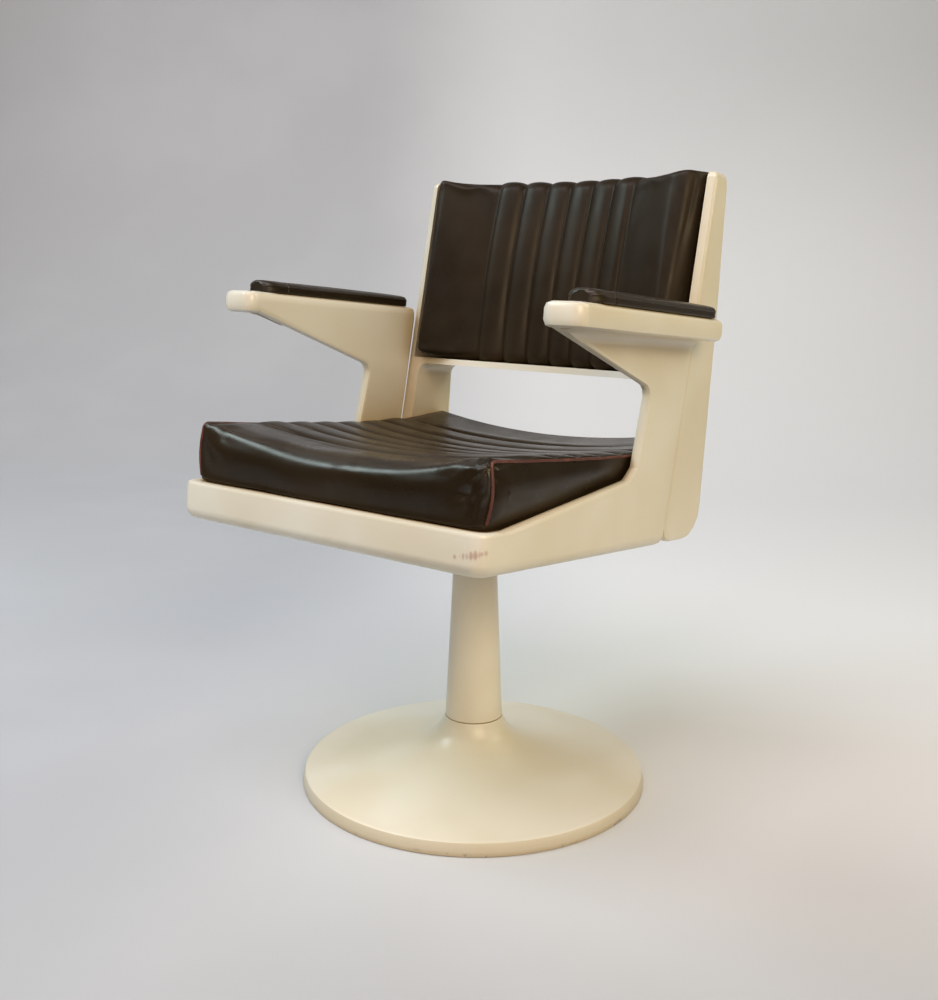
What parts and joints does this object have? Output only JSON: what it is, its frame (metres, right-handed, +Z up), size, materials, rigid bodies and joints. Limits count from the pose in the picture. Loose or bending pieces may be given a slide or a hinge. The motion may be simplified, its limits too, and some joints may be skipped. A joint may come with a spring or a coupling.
{
  "type": "pedestal swivel armchair",
  "caption": "Swivel armchair on a round trumpet pedestal: moulded cream shell with cantilevered armrests, dark channelled leatherette seat and curved back, low back frame open above the seat.",
  "frame": {"origin": "on the floor, on the swivel axis, at the centre of the foot's underside", "axes": "+Z up along the swivel axis, -Y towards the front of the seat, +X towards the sitter's left arm"},
  "size_m": [0.579, 0.5777, 0.8509],
  "materials": {
    "foot": "semi-gloss cream lacquer",
    "stem": "semi-gloss cream lacquer",
    "shell": "semi-gloss cream lacquer on moulded foam",
    "back_frame": "semi-gloss cream lacquer on moulded foam",
    "leatherette": "smooth dark brown leatherette with a soft sheen",
    "piping": "worn rust-red welt",
    "steel": "zinc-plated steel",
    "iron": "raw casting",
    "nylon": "turned nylon",
    "plywood": "raw plywood",
    "fibreboard": "hard fibreboard"
  },
  "bodies": {
    "base": {"floor_disc": "fibreboard", "foot": "foot", "ballast_ring": "iron", "stem": "stem", "post": "steel", "post_washer": "steel", "post_nut": "steel", "upper_bush": "nylon", "lower_bush": "nylon"},
    "seat": {"spindle": "steel", "spindle_clip": "steel", "thrust_washer": "nylon", "seat_bracket": "steel", "seat_bolt_1": "steel", "seat_bolt_2": "steel", "seat_bolt_3": "steel", "seat_bolt_4": "steel", "seat_nut_1": "steel", "seat_nut_2": "steel", "seat_nut_3": "steel", "seat_nut_4": "steel", "seat_shell": "shell", "seat_board": "plywood", "seat_cushion": "leatherette", "left_piping": "piping", "right_piping": "piping", "back_frame": "back_frame", "back_board": "plywood", "back_cushion": "leatherette", "frame_bolt_1": "steel", "frame_bolt_2": "steel", "frame_bolt_3": "steel", "frame_bolt_4": "steel", "left_arm_pad": "leatherette", "left_pad_board": "plywood", "left_pad_clip": "steel", "arm_screw_1": "steel", "arm_screw_2": "steel", "right_arm_pad": "leatherette", "right_pad_board": "plywood", "right_pad_clip": "steel", "arm_screw_3": "steel", "arm_screw_4": "steel"}
  },
  "joints": [
    {"name": "swivel", "type": "hinge", "parent": "base", "child": "seat", "pos_m": [0, 0, 0.355], "axis": [0, 0, 1], "continuous": true}
  ]
}
